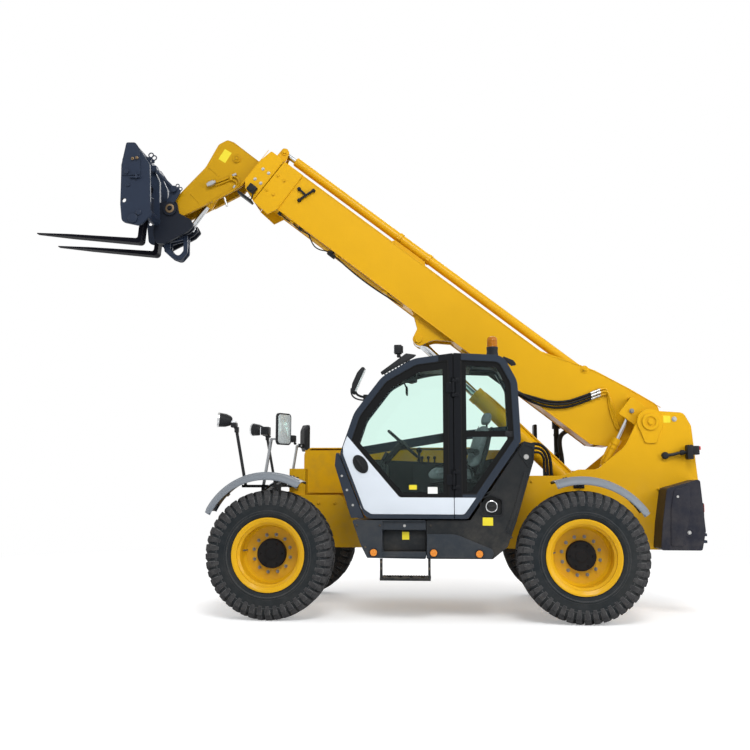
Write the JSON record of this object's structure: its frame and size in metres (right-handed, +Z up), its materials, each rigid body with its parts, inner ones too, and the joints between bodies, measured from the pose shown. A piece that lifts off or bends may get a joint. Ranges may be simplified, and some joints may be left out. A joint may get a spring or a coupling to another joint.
{
  "type": "telehandler",
  "caption": "Telescopic handler with a raised boom, fork carriage, left-hand cab, side engine and four steered wheels.",
  "frame": {"origin": "on the ground, at the middle of the overall length and width; the axles' middle is 0.736 m behind it", "axes": "+X forward, +Y to the machine's left, +Z up"},
  "size_m": [7.3716, 2.395, 5.2534],
  "materials": {
    "frame_paint": "satin golden-yellow paint",
    "boom_paint": "satin golden-yellow paint",
    "rim_paint": "gloss yellow paint",
    "tyre": "matt rubber",
    "chrome_rod": "polished",
    "dark_paint": "semi-matt near-black paint",
    "cab_paint": "satin dark blue-grey paint",
    "door_panel": "gloss light grey paint",
    "fender_grey": "satin grey moulding",
    "dark_plastic": "grained dark moulding",
    "glass": "green-tinted safety glass",
    "lamp_lens": "clear lamp with black shell",
    "beacon_amber": "amber lens",
    "seat_fabric": "black woven fabric",
    "mirror_shell": "black shell",
    "engine_iron": "plain casting",
    "exhaust_steel": "heat-proof black"
  },
  "bodies": {
    "chassis": {"frame_side_plates": "frame_paint", "frame_cross_members": "frame_paint", "boom_pivot_pin": "frame_paint", "rear_counterweight": "frame_paint", "tow_hitch": "dark_paint", "rear_bumpers": "dark_plastic", "front_axle": "dark_paint", "rear_axle": "dark_paint", "front_fenders": "fender_grey", "rear_fenders": "fender_grey", "lamp_posts": "dark_paint", "front_lamps": "lamp_lens", "mirrors": "mirror_shell", "cab_frame": "cab_paint", "cab_floor": "dark_plastic", "cab_windows": "glass", "operator_seat": "seat_fabric", "cab_controls": "dark_plastic", "side_skirts": "dark_plastic", "fuel_tank": "dark_plastic", "cab_step": "dark_paint", "beacon": "beacon_amber", "engine_block": "engine_iron", "engine_bay": "frame_paint", "exhaust": "exhaust_steel"},
    "door": {"cab_door": "door_panel", "door_glass": "glass"},
    "hood": {"engine_hood": "frame_paint"},
    "boom": {"outer_boom": "boom_paint", "extension_barrel": "boom_paint"},
    "boom_middle": {"middle_boom": "boom_paint", "extension_rod": "chrome_rod"},
    "boom_head": {"inner_boom": "boom_paint"},
    "lift_cylinder_barrel": {"lift_barrel": "boom_paint"},
    "lift_cylinder_rod": {"lift_rod": "chrome_rod"},
    "compensation_cylinder_barrel": {"compensation_barrel": "boom_paint"},
    "compensation_cylinder_rod": {"compensation_rod": "chrome_rod"},
    "tilt_cylinder_barrel": {"tilt_barrel": "boom_paint"},
    "tilt_cylinder_rod": {"tilt_rod": "chrome_rod"},
    "carriage": {"coupler": "dark_paint", "fork_frame": "dark_paint", "forks": "dark_paint"},
    "knuckle_front_left": {"knuckle_front_left": "dark_paint"},
    "wheel_front_left": {"rim_front_left": "rim_paint", "tyre_front_left": "tyre"},
    "knuckle_front_right": {"knuckle_front_right": "dark_paint"},
    "wheel_front_right": {"rim_front_right": "rim_paint", "tyre_front_right": "tyre"},
    "knuckle_rear_left": {"knuckle_rear_left": "dark_paint"},
    "wheel_rear_left": {"rim_rear_left": "rim_paint", "tyre_rear_left": "tyre"},
    "knuckle_rear_right": {"knuckle_rear_right": "dark_paint"},
    "wheel_rear_right": {"rim_rear_right": "rim_paint", "tyre_rear_right": "tyre"}
  },
  "joints": [
    {"name": "boom_lift", "type": "hinge", "parent": "chassis", "child": "boom", "pos_m": [-3.056, 0, 1.94], "axis": [0, -1, 0], "range_deg": [-41, 30]},
    {"name": "telescope_middle", "type": "slide", "parent": "boom", "child": "boom_middle", "axis": [0.788, 0, 0.6157], "range_m": [0, 3.6]},
    {"name": "telescope_head", "type": "slide", "parent": "boom_middle", "child": "boom_head", "axis": [0.788, 0, 0.6157], "range_m": [0, 3.6]},
    {"name": "carriage_tilt", "type": "hinge", "parent": "boom_head", "child": "carriage", "pos_m": [2.177, 0, 4.431], "axis": [0, 1, 0], "range_deg": [-60, 40]},
    {"name": "lift_barrel_pivot", "type": "hinge", "parent": "chassis", "child": "lift_cylinder_barrel", "pos_m": [-2.689, 0, 0.921], "axis": [0, -1, 0], "range_deg": [-36.38, 26.62]},
    {"name": "lift_rod_slide", "type": "slide", "parent": "lift_cylinder_barrel", "child": "lift_cylinder_rod", "axis": [0.718, 0, 0.696], "range_m": [-0.7153, 0.52339]},
    {"name": "compensation_barrel_pivot", "type": "hinge", "parent": "chassis", "child": "compensation_cylinder_barrel", "pos_m": [-2.578, 0.3, 1.436], "axis": [0, -1, 0], "range_deg": [-0.84, 0.61]},
    {"name": "compensation_rod_slide", "type": "slide", "parent": "compensation_cylinder_barrel", "child": "compensation_cylinder_rod", "axis": [-0.4472, 0, 0.8944], "range_m": [-0.13868, 0.10147]},
    {"name": "tilt_barrel_pivot", "type": "hinge", "parent": "boom_head", "child": "tilt_cylinder_barrel", "pos_m": [1.423, 0, 5.026], "axis": [0, 1, 0], "range_deg": [-4.9, 3.26]},
    {"name": "tilt_rod_slide", "type": "slide", "parent": "tilt_cylinder_barrel", "child": "tilt_cylinder_rod", "axis": [0.575, 0, -0.8182], "range_m": [-0.18514, 0.27772]},
    {"name": "cab_door_hinge", "type": "hinge", "parent": "chassis", "child": "door", "pos_m": [-1.029, 1.156, 1.7], "axis": [0, 0, 1], "range_deg": [0, 100]},
    {"name": "engine_hood_hinge", "type": "hinge", "parent": "chassis", "child": "hood", "pos_m": [-0.736, -0.312, 1.706], "axis": [-1, 0, 0], "range_deg": [0, 60]},
    {"name": "steer_front_left", "type": "hinge", "parent": "chassis", "child": "knuckle_front_left", "pos_m": [0.764, 0.76, 0.62], "axis": [0, 0, 1], "range_deg": [-35, 35]},
    {"name": "spin_front_left", "type": "hinge", "parent": "knuckle_front_left", "child": "wheel_front_left", "pos_m": [0.764, 1, 0.62], "axis": [0, 1, 0], "continuous": true},
    {"name": "steer_front_right", "type": "hinge", "parent": "chassis", "child": "knuckle_front_right", "pos_m": [0.764, -0.76, 0.62], "axis": [0, 0, 1], "range_deg": [-35, 35]},
    {"name": "spin_front_right", "type": "hinge", "parent": "knuckle_front_right", "child": "wheel_front_right", "pos_m": [0.764, -1, 0.62], "axis": [0, 1, 0], "continuous": true},
    {"name": "steer_rear_left", "type": "hinge", "parent": "chassis", "child": "knuckle_rear_left", "pos_m": [-2.236, 0.76, 0.62], "axis": [0, 0, -1], "range_deg": [-35, 35]},
    {"name": "spin_rear_left", "type": "hinge", "parent": "knuckle_rear_left", "child": "wheel_rear_left", "pos_m": [-2.236, 1, 0.62], "axis": [0, 1, 0], "continuous": true},
    {"name": "steer_rear_right", "type": "hinge", "parent": "chassis", "child": "knuckle_rear_right", "pos_m": [-2.236, -0.76, 0.62], "axis": [0, 0, -1], "range_deg": [-35, 35]},
    {"name": "spin_rear_right", "type": "hinge", "parent": "knuckle_rear_right", "child": "wheel_rear_right", "pos_m": [-2.236, -1, 0.62], "axis": [0, 1, 0], "continuous": true}
  ],
  "couplings": [
    {"joint": "telescope_head", "follows": "telescope_middle", "ratio": 1},
    {"joint": "lift_barrel_pivot", "follows": "boom_lift", "ratio": 0.87},
    {"joint": "lift_rod_slide", "follows": "boom_lift", "m_per_rad": 0.98},
    {"joint": "compensation_barrel_pivot", "follows": "boom_lift", "ratio": 0.02},
    {"joint": "compensation_rod_slide", "follows": "boom_lift", "m_per_rad": 0.19},
    {"joint": "tilt_barrel_pivot", "follows": "carriage_tilt", "ratio": 0.08},
    {"joint": "tilt_rod_slide", "follows": "carriage_tilt", "m_per_rad": -0.26},
    {"joint": "steer_front_right", "follows": "steer_front_left", "ratio": 1},
    {"joint": "steer_rear_right", "follows": "steer_rear_left", "ratio": 1}
  ]
}
